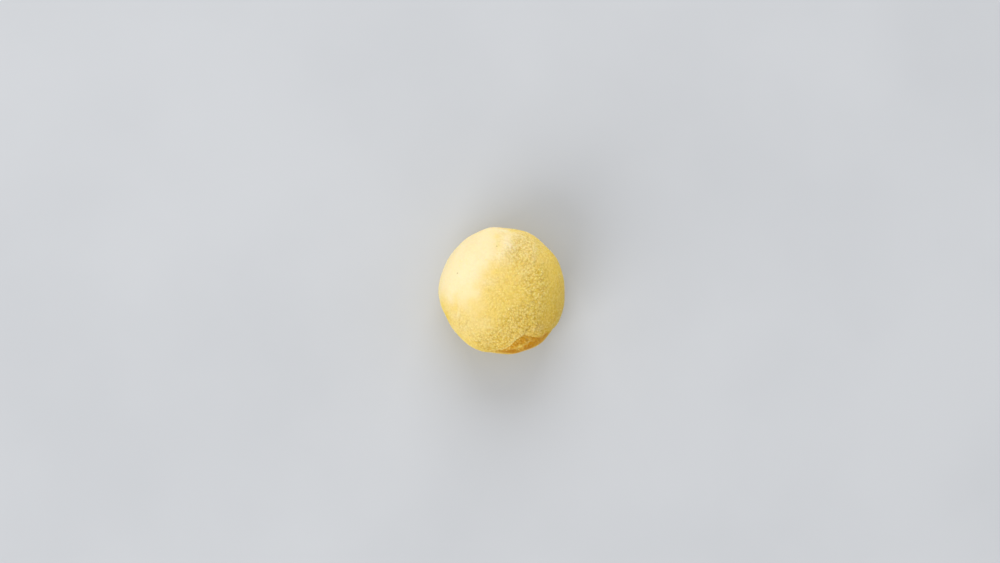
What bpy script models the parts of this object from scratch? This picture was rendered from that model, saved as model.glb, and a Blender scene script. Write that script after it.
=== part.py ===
"""A mango mochi, modelled as one soft lump of rice dough resting on its gathered underside.

Everything is in metres with +Z up. The origin is under the middle of the mochi, on the
surface that it stands on. Seen from straight above, +X is to the right and +Y is up.

The plain body is a dome turned about Z. Its outline is then made as uneven as a hand-shaped
one, the dough is folded at a few tucks, and the underside is gathered into pleats.
Two angles name a place on it. The azimuth goes round the body from +X. The turn goes down
it: 0 degrees at the crown, 90 at the belly and 180 at the rim of the flat foot.
"""

import math
from typing import NamedTuple

import bmesh
import bpy

MM = 0.001

# Driving dimensions
WIDTH = 45.0 * MM
HEIGHT = 33.0 * MM
BELLY_RADIUS = WIDTH / 2
BELLY_HEIGHT = 0.38 * HEIGHT
FOOT_RADIUS = 0.62 * BELLY_RADIUS
SHOULDER = 0.9  # under 1, the dome is fuller than an ellipse
CROWN_LEAN = (-0.6 * MM, 0.5 * MM)

# Mesh density
COLUMNS = 124
ROWS_ABOVE_LIP = 18
ROWS_BELOW_LIP = 19
ROWS_UNDER_FOOT = 8
CROWDING_ABOVE_LIP = 1.3  # over 1, the rows draw together towards the lips of the two large tucks
CROWDING_BELOW_LIP = 1.5
LOWEST_LIP_ROW = 84  # degrees of turn, for the row that follows those lips
COLUMN_CROWDING = 0.30  # share by which the columns draw together at the large tucks


class Wave(NamedTuple):
    """One wave of the outline: how many crests go round, how high, and the azimuth of one."""

    crests: int
    height: float
    azimuth: float


class Tuck(NamedTuple):
    """A fold where an upper layer of dough laps over a lower one.

    The lip's line is level at turn on one side of azimuth. On the other it falls by fall times
    the angle to the power 1.5: anticlockwise, or clockwise with a negative fall. It wavers a
    little, and runs from start to end, fading over fade degrees at both. The edge is lip wide
    and rolls up by roll. The dough under it lies deeper by depth, back to the body over recover.
    """

    azimuth: float
    turn: float
    fall: float
    start: float
    end: float
    fade: float
    lip: float
    roll: float
    depth: float
    recover: float


class Mark(NamedTuple):
    """A soft ridge, or with a negative height a dimple, that the hand left on the dome.

    Its middle is at x, y seen from above, and its long axis points at the azimuth.
    """

    x: float
    y: float
    along: float
    across: float
    azimuth: float
    height: float


OUTLINE_WAVES = (
    Wave(2, 0.25 * MM, -61),
    Wave(3, 0.10 * MM, -51),
    Wave(5, 0.16 * MM, 30),
    Wave(6, 0.11 * MM, -1),
    Wave(7, 0.06 * MM, -22),
    Wave(8, 0.05 * MM, 17),
    Wave(9, 0.07 * MM, -15),
    Wave(10, 0.05 * MM, -8),
    Wave(12, 0.07 * MM, 6),
    Wave(16, 0.04 * MM, 10),
)
OUTLINE_AT_FOOT = 0.6  # share of the waves that is left at the foot's rim

UPPER_TUCK = Tuck(-57, 43, -0.118, -108, -48, 18, 0.9 * MM, 0.26 * MM, 0.90 * MM, 12.0 * MM)
SIDE_TUCK = Tuck(-80, 43, 0.126, -72, -18, 18, 1.6 * MM, 0.20 * MM, 0.72 * MM, 12.0 * MM)
INNER_TUCK = Tuck(-68, 65, -0.118, -86, -52, 12, 0.8 * MM, 0.14 * MM, 0.34 * MM, 6.0 * MM)
NOTCH = Tuck(-172, 80, 0.250, -180, -150, 11, 1.6 * MM, 0.05 * MM, 0.32 * MM, 7.0 * MM)
TUCKS = (UPPER_TUCK, SIDE_TUCK, INNER_TUCK, NOTCH)
LIP_WAVER = 1.1  # degrees of turn
LIP_WAVER_PERIOD = 23  # degrees of azimuth

MARKS = (
    Mark(2.0 * MM, 15.0 * MM, 8.5 * MM, 3.4 * MM, 72, 0.50 * MM),
    Mark(10.9 * MM, 13.0 * MM, 7.0 * MM, 2.2 * MM, 88, 0.38 * MM),
    Mark(13.0 * MM, 2.5 * MM, 9.0 * MM, 2.8 * MM, 97, 0.30 * MM),
    Mark(17.0 * MM, 5.0 * MM, 9.0 * MM, 3.2 * MM, 103, -0.28 * MM),
    Mark(6.6 * MM, 13.8 * MM, 6.0 * MM, 2.8 * MM, 80, -0.34 * MM),
    Mark(-3.2 * MM, 7.0 * MM, 5.0 * MM, 3.4 * MM, 5, -0.20 * MM),
    Mark(-15.5 * MM, -6.2 * MM, 6.5 * MM, 2.4 * MM, 92, 0.28 * MM),
    Mark(-4.9 * MM, -12.6 * MM, 3.8 * MM, 2.2 * MM, -8, 0.24 * MM),
    Mark(11.9 * MM, -13.0 * MM, 3.6 * MM, 3.0 * MM, 0, 0.34 * MM),
    Mark(15.8 * MM, -7.0 * MM, 7.0 * MM, 4.4 * MM, 65, -0.38 * MM),
)

PLEATS = 9
PLEAT_DEPTH = 0.9 * MM
PLEAT_WIDTH = 2.3 * MM  # from the crease to the flat beside it, at the foot's rim
PLEAT_WIDTH_AT_PINCH = 0.35  # share of the width that is left at the middle
PLEAT_UNEVENNESS = 11.0  # degrees
PLEAT_SWIRL = 24.0  # degrees that a crease turns on its way from the rim to the pinch
PLEAT_REACH = 1.2  # from the pinch, in shares of the way to the foot's rim
PLEAT_REACH_UNEVENNESS = 0.5
PLEAT_FADE = 0.5
PLEAT_SIDE_TURN = 60  # degrees up the side that count as one more such share
PINCH_RADIUS = 5.5 * MM
PINCH_DEPTH = 2.0 * MM
PINCH_OFFSET = (1.6 * MM, -1.1 * MM)

DOUGH_COLOUR = (0.84, 0.62, 0.19, 1.0)
DOUGH_ROUGHNESS = 0.78


def hump(share):
    """A smooth hump, 1 at 0 and exactly 0 from 1 outwards."""
    return (1 - share * share) ** 2 if abs(share) < 1 else 0.0


def ease(share):
    """A smooth rise from 0 to 1."""
    share = min(max(share, 0.0), 1.0)
    return share * share * (3 - 2 * share)


def angle_between(azimuth, other):
    """Degrees from other to azimuth, the short way round."""
    return (azimuth - other + 180) % 360 - 180


def plain_body(turn):
    """Radius and height of the plain body at this turn."""
    if turn <= 90:
        swing = math.radians(turn)
        radius = BELLY_RADIUS * max(math.sin(swing), 0.0) ** SHOULDER
        rise = max(math.cos(swing), 0.0) ** SHOULDER
        return radius, BELLY_HEIGHT + (HEIGHT - BELLY_HEIGHT) * rise
    swing = math.radians(turn - 90)
    radius = FOOT_RADIUS + (BELLY_RADIUS - FOOT_RADIUS) * math.cos(swing)
    return radius, BELLY_HEIGHT * (1 - math.sin(swing))


def slope_lengths():
    """Length of the plain body's slope from the crown down to each whole degree of turn."""
    lengths = [0.0]
    for turn in range(180):
        lengths.append(lengths[-1] + math.dist(plain_body(turn), plain_body(turn + 1)))
    return lengths


SLOPE_LENGTHS = slope_lengths()


def slope_length(turn):
    """Length of the plain body's slope from the crown down to this turn."""
    turn = min(turn, 180.0)
    whole = min(int(turn), 179)
    return SLOPE_LENGTHS[whole] + (SLOPE_LENGTHS[whole + 1] - SLOPE_LENGTHS[whole]) * (turn - whole)


def outward(turn):
    """The plain body's outward direction (radial, up) at this turn."""
    step = 0.5
    before = plain_body(max(turn - step, 0.0))
    after = plain_body(min(turn + step, 180.0))
    along, rise = after[0] - before[0], after[1] - before[1]
    length = math.hypot(along, rise)
    return -rise / length, along / length


def outline(azimuth, turn):
    """How far the uneven outline stands out from the turned one."""
    total = sum(w.height * math.cos(w.crests * math.radians(azimuth - w.azimuth)) for w in OUTLINE_WAVES)
    if turn <= 90:
        return total * math.sin(math.radians(turn)) ** 3
    return total * (1 - (1 - OUTLINE_AT_FOOT) * (turn - 90) / 90)


def lip_turn(tuck, azimuth):
    """The turn at which the tuck's lip lies at this azimuth."""
    aside = angle_between(azimuth, tuck.azimuth) * math.copysign(1, tuck.fall)
    waver = LIP_WAVER * math.sin(math.tau * aside / LIP_WAVER_PERIOD)
    return tuck.turn + abs(tuck.fall) * max(aside, 0.0) ** 1.5 + waver


def tuck_relief(tuck, azimuth, turn):
    """Height of the tuck's rolled lip, or depth of the layer under it."""
    past_start = angle_between(azimuth, tuck.start)
    to_end = angle_between(tuck.end, azimuth)
    strength = ease(past_start / tuck.fade) * ease(to_end / tuck.fade)
    past = slope_length(turn) - slope_length(lip_turn(tuck, azimuth))
    roll = tuck.roll * hump((past + 0.5 * tuck.lip) / (2.4 * tuck.lip))
    layer = ease(past / tuck.lip) * (1 - ease(past / tuck.recover))
    return strength * (roll - tuck.depth * layer)


def mark_relief(mark, x, y):
    """Height of a hand mark at x, y seen from above."""
    aim = math.radians(mark.azimuth)
    along = (x - mark.x) * math.cos(aim) + (y - mark.y) * math.sin(aim)
    across = (y - mark.y) * math.cos(aim) - (x - mark.x) * math.sin(aim)
    return mark.height * hump(math.hypot(along / mark.along, across / mark.across))


def pleat_depth(azimuth, share):
    """Depth of the gathers at a share of the way from the pinch to the foot's rim, over 1 up the side.

    Each crease swirls on its way in, and the creases differ in spacing, depth and reach.
    """
    inside = min(share, 1.0)
    width = PLEAT_WIDTH * (PLEAT_WIDTH_AT_PINCH + (1 - PLEAT_WIDTH_AT_PINCH) * inside)
    deepest = 0.0
    for number in range(PLEATS):
        crease = 360 * number / PLEATS + PLEAT_UNEVENNESS * math.sin(2.4 * number * number)
        crease += PLEAT_SWIRL * (1 - inside) ** 2
        aside = math.radians(angle_between(azimuth, crease)) * inside * FOOT_RADIUS
        reach = PLEAT_REACH + PLEAT_REACH_UNEVENNESS * math.cos(2.7 * number)
        depth = PLEAT_DEPTH * (0.75 + 0.25 * math.sin(1.9 * number))
        depth *= ease((reach - share) / PLEAT_FADE)
        deepest = max(deepest, depth * hump(aside / width))
    return deepest


def side_point(azimuth, turn):
    """Place of the mochi's surface between the crown and the foot's rim."""
    radius, height = plain_body(turn)
    out, up = outward(turn)
    radius += outline(azimuth, turn)
    aim = math.radians(azimuth)
    relief = sum(tuck_relief(tuck, azimuth, turn) for tuck in TUCKS)
    if turn < 90:
        relief += sum(mark_relief(m, radius * math.cos(aim), radius * math.sin(aim)) for m in MARKS)
    else:
        relief -= pleat_depth(azimuth, 1 + (180 - turn) / PLEAT_SIDE_TURN)
    radius += relief * out
    height += relief * up
    lean = (height / HEIGHT) ** 2
    x = radius * math.cos(aim) + CROWN_LEAN[0] * lean
    y = radius * math.sin(aim) + CROWN_LEAN[1] * lean
    return x, y, max(height, 0.0)


def foot_point(azimuth, share):
    """Place of the underside at a share of the way from the pinch to the foot's rim."""
    aim = math.radians(azimuth)
    radius = (FOOT_RADIUS + outline(azimuth, 180)) * share
    pinch = hump(radius / PINCH_RADIUS)
    x = radius * math.cos(aim) + PINCH_OFFSET[0] * (1 - share) ** 2
    y = radius * math.sin(aim) + PINCH_OFFSET[1] * (1 - share) ** 2
    return x, y, PINCH_DEPTH * pinch + pleat_depth(azimuth, share) * (1 - pinch)


def column_azimuth(share):
    """Azimuth of a column at this share of the way round, the columns drawn together at the large tucks."""
    even = 360 * share
    return INNER_TUCK.azimuth + even - math.degrees(COLUMN_CROWDING * math.sin(math.radians(even)))


def row_turn(row, azimuth):
    """Turn of a row, so that one row runs all along the lips of the two large tucks."""
    lip = LOWEST_LIP_ROW
    if abs(angle_between(azimuth, INNER_TUCK.azimuth)) < 90:
        lip = min(max(lip_turn(UPPER_TUCK, azimuth), lip_turn(SIDE_TUCK, azimuth)), lip)
    if row <= ROWS_ABOVE_LIP:
        return lip * (1 - (1 - row / ROWS_ABOVE_LIP) ** CROWDING_ABOVE_LIP)
    return lip + (180 - lip) * ((row - ROWS_ABOVE_LIP) / ROWS_BELOW_LIP) ** CROWDING_BELOW_LIP


def surface_point(column, row):
    """Place of one crossing of the grid, its rows running from the crown to the middle of the foot."""
    azimuth = column_azimuth(column / COLUMNS)
    rows_down_side = ROWS_ABOVE_LIP + ROWS_BELOW_LIP
    if row <= rows_down_side:
        return side_point(azimuth, row_turn(row, azimuth))
    return foot_point(azimuth, 1 - (row - rows_down_side) / ROWS_UNDER_FOOT)


def wrapped_grid():
    """A flat grid wrapped round the body, its seam and its two ends welded."""
    rows = ROWS_ABOVE_LIP + ROWS_BELOW_LIP + ROWS_UNDER_FOOT
    mesh = bmesh.new()
    bmesh.ops.create_grid(mesh, x_segments=COLUMNS, y_segments=rows, size=0.5)
    for vertex in mesh.verts:
        column = round((vertex.co.x + 0.5) * COLUMNS)
        row = round((0.5 - vertex.co.y) * rows)
        vertex.co = surface_point(column, row)
    bmesh.ops.remove_doubles(mesh, verts=mesh.verts, dist=1e-6)
    bmesh.ops.recalc_face_normals(mesh, faces=mesh.faces)
    bmesh.ops.triangulate(mesh, faces=mesh.faces, quad_method="SHORT_EDGE")
    return mesh


def centre_over_origin(mesh):
    """Moves the mesh sideways so that its box is centred on the Z axis."""
    for axis in (0, 1):
        places = [vertex.co[axis] for vertex in mesh.verts]
        middle = (min(places) + max(places)) / 2
        for vertex in mesh.verts:
            vertex.co[axis] -= middle


def dough_material():
    """Matt mango-yellow rice dough under a dusting of starch."""
    material = bpy.data.materials.new("mango_dough")
    material.use_nodes = True
    shader = material.node_tree.nodes["Principled BSDF"]
    shader.inputs["Base Color"].default_value = DOUGH_COLOUR
    shader.inputs["Roughness"].default_value = DOUGH_ROUGHNESS
    shader.inputs["Metallic"].default_value = 0.0
    material.diffuse_color = DOUGH_COLOUR
    return material


def make_mochi():
    """The whole mochi as one closed object."""
    grid = wrapped_grid()
    centre_over_origin(grid)
    mesh = bpy.data.meshes.new("mochi")
    grid.to_mesh(mesh)
    grid.free()
    mesh.shade_smooth()
    mesh.materials.append(dough_material())
    mochi = bpy.data.objects.new("mochi", mesh)
    bpy.context.scene.collection.objects.link(mochi)
    return mochi


for leftover in list(bpy.data.objects):
    bpy.data.objects.remove(leftover)
make_mochi()
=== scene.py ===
"""A mango mochi: soft yellow rice dough, folded at one side and dusted with starch.

The skin is one closed surface over the plain solid, with the same folds and hand marks, and
it adds overhanging lips, soft lumps and the pebbly grain of the dough. Crumbs of starch lie on
it.
Sizes are in metres, +Z up. Seen from straight above, +X is to the right and +Y is up.

Two angles name a place on the skin. The azimuth goes round the body from +X. The turn goes
down it: 0 degrees at the crown, 90 at the belly and 180 at the rim of the flat foot.
"""

import itertools
import math
from typing import NamedTuple

import bpy
import numpy as np
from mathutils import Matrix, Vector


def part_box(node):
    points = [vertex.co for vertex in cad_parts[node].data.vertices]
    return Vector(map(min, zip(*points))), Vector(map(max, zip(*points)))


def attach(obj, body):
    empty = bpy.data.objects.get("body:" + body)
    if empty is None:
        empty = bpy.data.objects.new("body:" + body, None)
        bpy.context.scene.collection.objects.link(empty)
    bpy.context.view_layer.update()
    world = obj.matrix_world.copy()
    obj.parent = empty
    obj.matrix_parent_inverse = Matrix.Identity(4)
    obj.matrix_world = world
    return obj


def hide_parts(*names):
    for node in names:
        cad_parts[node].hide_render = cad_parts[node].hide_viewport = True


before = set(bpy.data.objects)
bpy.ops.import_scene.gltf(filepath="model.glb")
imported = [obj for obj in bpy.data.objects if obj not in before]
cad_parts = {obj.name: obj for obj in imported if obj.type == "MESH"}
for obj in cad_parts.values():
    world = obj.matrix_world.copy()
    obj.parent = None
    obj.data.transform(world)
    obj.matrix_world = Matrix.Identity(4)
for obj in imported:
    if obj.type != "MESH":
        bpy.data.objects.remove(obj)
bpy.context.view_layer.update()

MM = 0.001

# Plain body, from the frame
LOW, HIGH = (np.array(corner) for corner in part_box("mochi"))
HEIGHT = HIGH[2] - LOW[2]
BELLY_RADIUS = 0.6818 * HEIGHT
BELLY_HEIGHT = 0.38 * HEIGHT
FOOT_RADIUS = 0.62 * BELLY_RADIUS
SHOULDER = 0.9  # under 1, the dome is fuller than an ellipse
CROWN_LEAN = (-0.6 * MM, 0.5 * MM)
SLOPE_CHORDS = 720

# Mesh density; one row runs along the lips within the fold's reach, down to the lowest turn
COLUMNS = 568
ROWS_ABOVE_LIP = 100
ROWS_BELOW_LIP = 60
ROWS_UNDER_FOOT = 15
CROWDING_ABOVE_LIP = 1.15
CROWDING_BELOW_LIP = 1.2
LOWEST_LIP_ROW = 84
COLUMN_CROWDING = 0.2
FOLD_REACH = 90


class Wave(NamedTuple):
    """One wave of the outline: how many crests go round, how high, and the azimuth of one."""

    crests: int
    height: float
    azimuth: float


class Tuck(NamedTuple):
    """A fold where an upper layer of dough laps over a lower one.

    The lip's line is level at turn on one side of azimuth. On the other it falls by fall times
    the angle to the power 1.5: anticlockwise, or clockwise with a negative fall. It wavers a
    little, and runs from start to end, fading over fade degrees at both. The edge is lip wide
    and rolls up by roll. The dough under it lies deeper by depth, back to the body over recover.
    The lip hangs over the lower layer by overhang.
    """

    azimuth: float
    turn: float
    fall: float
    start: float
    end: float
    fade: float
    lip: float
    roll: float
    depth: float
    recover: float
    overhang: float


class Mark(NamedTuple):
    """A soft ridge, or with a negative height a dimple, that the hand left on the dome.

    Its middle is at x, y seen from above, and its long axis points at the azimuth.
    """

    x: float
    y: float
    along: float
    across: float
    azimuth: float
    height: float


class Patch(NamedTuple):
    """A patch of the skin where a finish is stronger, or with a negative amount weaker.

    Its middle is at x, y seen from above, and its long axis points at the azimuth. Its edge
    is soft over edge, a share of its half width.
    """

    x: float
    y: float
    along: float
    across: float
    azimuth: float
    amount: float
    edge: float


class Unevenness(NamedTuple):
    """A layer of random unevenness: the size of its cells, its height and its seed."""

    cell: float
    height: float
    seed: int


OUTLINE_WAVES = (
    Wave(2, 0.25 * MM, -61),
    Wave(3, 0.10 * MM, -51),
    Wave(5, 0.16 * MM, 30),
    Wave(6, 0.11 * MM, -1),
    Wave(7, 0.06 * MM, -22),
    Wave(8, 0.05 * MM, 17),
    Wave(9, 0.07 * MM, -15),
    Wave(10, 0.05 * MM, -8),
    Wave(12, 0.07 * MM, 6),
    Wave(16, 0.04 * MM, 10),
)
OUTLINE_AT_FOOT = 0.6

UPPER_TUCK = Tuck(
    azimuth=-57, turn=41.5, fall=-0.107, start=-108, end=-48, fade=18,
    lip=0.9 * MM, roll=0.30 * MM, depth=1.15 * MM, recover=12.0 * MM, overhang=0.70 * MM,
)
SIDE_TUCK = Tuck(
    azimuth=-80, turn=41.3, fall=0.126, start=-72, end=-18, fade=18,
    lip=1.4 * MM, roll=0.18 * MM, depth=0.90 * MM, recover=12.0 * MM, overhang=0.30 * MM,
)
INNER_TUCK = Tuck(
    azimuth=-68, turn=65, fall=-0.118, start=-86, end=-52, fade=12,
    lip=0.8 * MM, roll=0.18 * MM, depth=0.50 * MM, recover=6.0 * MM, overhang=0.40 * MM,
)
NOTCH = Tuck(
    azimuth=-172, turn=80, fall=0.250, start=-180, end=-150, fade=11,
    lip=1.6 * MM, roll=0.05 * MM, depth=0.32 * MM, recover=7.0 * MM, overhang=0.1 * MM,
)
TUCKS = (UPPER_TUCK, SIDE_TUCK, INNER_TUCK, NOTCH)
LIP_WAVER = 1.1
LIP_WAVER_PERIOD = 23

# Humps about a lip, in shares of its width: how far above it the middle lies, and the reach
ROLL_SETBACK = 0.5
ROLL_REACH = 2.4
SLIDE_REACH = 1.3
RIDGE_SETBACK = 0.3
RIDGE_REACH = 0.9
# The reach of the painted shade in the crease right under a lip
CREASE_REACH = 1.1

MARKS = (
    Mark(2.0 * MM, 15.0 * MM, 8.5 * MM, 3.4 * MM, 72, 0.50 * MM),
    Mark(10.9 * MM, 13.0 * MM, 7.0 * MM, 2.2 * MM, 88, 0.38 * MM),
    Mark(13.0 * MM, 2.5 * MM, 9.0 * MM, 2.8 * MM, 97, 0.30 * MM),
    Mark(17.0 * MM, 5.0 * MM, 9.0 * MM, 3.2 * MM, 103, -0.28 * MM),
    Mark(6.6 * MM, 13.8 * MM, 6.0 * MM, 2.8 * MM, 80, -0.34 * MM),
    Mark(-3.2 * MM, 7.0 * MM, 5.0 * MM, 3.4 * MM, 5, -0.20 * MM),
    Mark(-15.5 * MM, -6.2 * MM, 6.5 * MM, 2.4 * MM, 92, 0.28 * MM),
    Mark(-4.9 * MM, -12.6 * MM, 3.8 * MM, 2.2 * MM, -8, 0.24 * MM),
    Mark(11.9 * MM, -13.0 * MM, 3.6 * MM, 3.0 * MM, 0, 0.46 * MM),
    Mark(15.8 * MM, -7.0 * MM, 7.0 * MM, 4.4 * MM, 65, -0.38 * MM),
    Mark(5.0 * MM, -20.0 * MM, 1.4 * MM, 1.0 * MM, 40, 0.24 * MM),
    Mark(6.7 * MM, -19.4 * MM, 1.2 * MM, 0.9 * MM, 35, 0.22 * MM),
    Mark(8.3 * MM, -18.4 * MM, 1.5 * MM, 0.9 * MM, 40, 0.20 * MM),
    Mark(12.4 * MM, -16.7 * MM, 1.8 * MM, 1.0 * MM, 40, 0.16 * MM),
)

PLEATS = 9
PLEAT_DEPTH = 0.9 * MM
PLEAT_DEPTH_UNEVENNESS = 0.25
PLEAT_WIDTH = 2.3 * MM
PLEAT_WIDTH_AT_PINCH = 0.35
PLEAT_UNEVENNESS = 11.0
PLEAT_SWIRL = 24.0
PLEAT_REACH = 1.2
PLEAT_REACH_UNEVENNESS = 0.5
PLEAT_FADE = 0.5
PLEAT_SIDE_TURN = 60
PINCH_RADIUS = 5.5 * MM
PINCH_DEPTH = 2.0 * MM
PINCH_OFFSET = (1.6 * MM, -1.1 * MM)

# Radians from one pleat to the next, which make their places, reaches and depths uneven
PLEAT_PLACE_STEP = 2.4
PLEAT_REACH_STEP = 2.7
PLEAT_DEPTH_STEP = 1.9

# Soft lumps of the dough
LUMPS = (Unevenness(5.0 * MM, 0.050 * MM, 7), Unevenness(2.4 * MM, 0.030 * MM, 8))
LATTICE = 64

# Pebbly grain of the dough and the starch on it
PEBBLE_CELL = 0.79 * MM
PEBBLE_HEIGHT = 0.26 * MM
PEBBLE_JITTER = 0.85
PEBBLE_SEED = 12

# Turn at which the lumps and the grain have gone, and the degrees over which they fade
CALM_TURN = 178
CALM_FADE = 40

# Where the dome's own patches end down the side
UPPER_SIDE_END = 1.5 * MM
UPPER_SIDE_FADE = 9.0 * MM
UPPER_SIDE_WAVER = (Unevenness(7.0 * MM, 2.5 * MM, 22), Unevenness(2.5 * MM, 1.2 * MM, 23))

# Where the starch lies thicker or thinner, with ragged edges: partly starch and partly painted light, as
# the large patches pale the upper left, which faces the light, and the narrow ones pale the ridges
DUST_AND_PAINTED_LIGHT_PATCHES = (
    Patch(-12.3 * MM, 13.5 * MM, 32.0 * MM, 15.5 * MM, 56, 0.42, 0.60),
    Patch(-9.0 * MM, 4.0 * MM, 38.0 * MM, 30.0 * MM, 66, 0.14, 1.0),
    Patch(-10.0 * MM, -10.0 * MM, 12.0 * MM, 8.0 * MM, 120, 0.09, 1.0),
    Patch(-20.5 * MM, -5.4 * MM, 7.2 * MM, 2.8 * MM, 99, -0.24, 0.9),
    Patch(7.0 * MM, 16.0 * MM, 11.0 * MM, 9.0 * MM, 140, 0.19, 1.0),
    Patch(-8.0 * MM, -13.5 * MM, 9.0 * MM, 6.5 * MM, 150, 0.07, 1.0),
    Patch(-8.0 * MM, -5.0 * MM, 9.0 * MM, 6.0 * MM, 60, 0.07, 1.0),
    Patch(-2.0 * MM, 6.9 * MM, 3.4 * MM, 2.0 * MM, 15, -0.10, 0.9),
    Patch(-2.0 * MM, 19.2 * MM, 2.6 * MM, 1.5 * MM, 10, -0.12, 0.9),
    Patch(11.0 * MM, 13.4 * MM, 7.0 * MM, 1.3 * MM, 88, 0.11, 0.9),
    Patch(-15.2 * MM, -6.0 * MM, 4.2 * MM, 1.1 * MM, 92, 0.10, 0.9),
    Patch(-4.5 * MM, -12.5 * MM, 2.4 * MM, 1.0 * MM, -8, 0.08, 0.9),
    Patch(12.2 * MM, -12.8 * MM, 3.2 * MM, 1.6 * MM, 20, 0.12, 0.9),
    Patch(8.0 * MM, 7.5 * MM, 6.5 * MM, 5.0 * MM, 60, 0.05, 1.0),
    Patch(-14.0 * MM, -13.0 * MM, 6.5 * MM, 5.0 * MM, 140, 0.10, 1.0),
    Patch(-6.5 * MM, 7.5 * MM, 5.0 * MM, 3.6 * MM, 60, -0.11, 1.0),
    Patch(3.0 * MM, 16.5 * MM, 5.0 * MM, 4.0 * MM, 60, 0.09, 1.0),
    Patch(-15.5 * MM, -3.3 * MM, 4.0 * MM, 3.0 * MM, 90, 0.07, 1.0),
    Patch(-11.0 * MM, -3.3 * MM, 4.0 * MM, 3.0 * MM, 90, -0.06, 1.0),
    Patch(6.2 * MM, 14.5 * MM, 3.2 * MM, 1.6 * MM, 70, -0.05, 0.9),
)
DUST_EDGE = (Unevenness(3.2 * MM, 0.13, 18),)

# Where the bare dough under the lips is dusted again
TUCK_PATCHES = (
    Patch(5.9 * MM, -19.5 * MM, 2.8 * MM, 1.3 * MM, 35, 0.75, 0.9),
    Patch(8.4 * MM, -18.3 * MM, 1.6 * MM, 1.0 * MM, 40, 0.35, 0.9),
    Patch(12.6 * MM, -16.6 * MM, 2.0 * MM, 0.9 * MM, 40, 0.35, 0.9),
)

# Where the dough is deeper in colour, at the lower right and right, the side turned from the light: partly
# the dough's own colour and partly painted shade
WARM_AND_PAINTED_SHADE_PATCHES = (
    Patch(16.5 * MM, -11.0 * MM, 10.0 * MM, 7.5 * MM, 60, 0.16, 1.0),
    Patch(7.0 * MM, -17.0 * MM, 21.0 * MM, 10.5 * MM, 12, 0.22, 1.0),
    Patch(22.5 * MM, -1.0 * MM, 15.0 * MM, 7.5 * MM, 88, 0.10, 1.0),
)

# Painted shade: where the dough is darkened as if in shade, deep in the fold, along the bottom rim and at
# the upper right rim; down the side it fades from the end turn on
SHADE_PATCHES = (
    Patch(2.6 * MM, -21.7 * MM, 6.2 * MM, 1.9 * MM, 3, 1.00, 0.8),
    Patch(4.4 * MM, -18.9 * MM, 3.0 * MM, 0.9 * MM, 36, 0.30, 0.9),
    Patch(8.8 * MM, -20.1 * MM, 3.4 * MM, 1.3 * MM, 30, 1.00, 0.9),
    Patch(11.6 * MM, -17.9 * MM, 2.2 * MM, 1.2 * MM, 40, 0.40, 0.9),
    Patch(10.0 * MM, -15.7 * MM, 2.6 * MM, 0.9 * MM, 2, 0.30, 0.9),
    Patch(-4.8 * MM, -20.6 * MM, 8.0 * MM, 3.4 * MM, -10, 0.34, 1.0),
    Patch(18.6 * MM, 13.2 * MM, 7.0 * MM, 3.0 * MM, 125, 0.34, 1.0),
)
SHADE_END_TURN = 74
SHADE_END_FADE = 20

# How thick the starch lies; under 0 it takes the powder's own flecks away too
DUST_EVERYWHERE = 0.02
DUST_IN_TUCK = -0.06
DUST_ON_LIP = 0.04
DUST_ON_FOOT = 0.34
FOOT_DUST_CLOUDS = (Unevenness(4.0 * MM, 0.12, 28),)
FOOT_DUST_TURN = 125
FOOT_DUST_FADE = 55

# How bare the dough is under each lip, the inner one's on top of the upper one's; the soft
# edges there; the mottling; and the turn from which it fades down the side
BARE_UNDER_UPPER = 0.64
BARE_UNDER_INNER = 0.26
BARE_UNDER_SIDE = 0.80
UPPER_EDGE_LEAD = 0.1 * MM
UPPER_EDGE_WIDTH = 0.5 * MM
SIDE_EDGE_LEAD = 1.8 * MM
SIDE_EDGE_WIDTH = 4.8 * MM
INNER_EDGE_WIDTH = 0.8 * MM
COVERED_EDGE_WIDTH = 1.5 * MM
MOTTLE_MIDDLE = 0.95
MOTTLE = (Unevenness(2.4 * MM, 0.26, 21), Unevenness(1.1 * MM, 0.24, 24))
BARE_END_TURN = 72
BARE_END_FADE = 30
BARE_END_WAVER = (Unevenness(3.5 * MM, 9, 25),)

# How pale the lips are, what share of their paleness the pebbles lose on bare dough, and how dark the
# painted shade in the pleats' creases is
TOP_ON_LIP = 0.60
TOP_LOST_ON_BARE = 0.55
PAINTED_SHADE_IN_PLEATS = 0.7

# Where the grain is coarser or smoother
GRAIN_PATCHES = (
    Patch(7.5 * MM, 15.0 * MM, 8.5 * MM, 7.0 * MM, 70, 0.60, 0.7),
    Patch(11.5 * MM, 3.0 * MM, 12.0 * MM, 6.5 * MM, 95, 0.50, 0.7),
    Patch(6.0 * MM, -11.0 * MM, 12.5 * MM, 8.0 * MM, 40, 0.62, 0.6),
    Patch(-3.0 * MM, -17.5 * MM, 10.0 * MM, 5.5 * MM, 0, 0.62, 0.6),
    Patch(12.0 * MM, -14.0 * MM, 5.0 * MM, 4.0 * MM, 20, 0.35, 0.8),
    Patch(7.5 * MM, -19.0 * MM, 6.0 * MM, 2.6 * MM, 30, 0.45, 0.8),
    Patch(-12.0 * MM, -12.5 * MM, 8.0 * MM, 6.0 * MM, 135, 0.16, 0.9),
    Patch(-14.3 * MM, 11.2 * MM, 27.0 * MM, 14.5 * MM, 56, -0.32, 0.5),
    Patch(-10.0 * MM, -3.0 * MM, 9.0 * MM, 7.0 * MM, 90, -0.20, 0.8),
)
GRAIN_EVERYWHERE = 0.42
GRAIN_CLOUDS = (Unevenness(6.0 * MM, 0.12, 20),)

# Specks of fruit in the dough: azimuth and turn of each
SPECKS = (
    (158.8, 45.5), (-126, 57), (96, 40.7),
    (20, 118), (100, 130), (215, 112), (-20, 125), (60, 96), (-100, 122),
)
SPECK_RADIUS = 0.42 * MM

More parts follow.
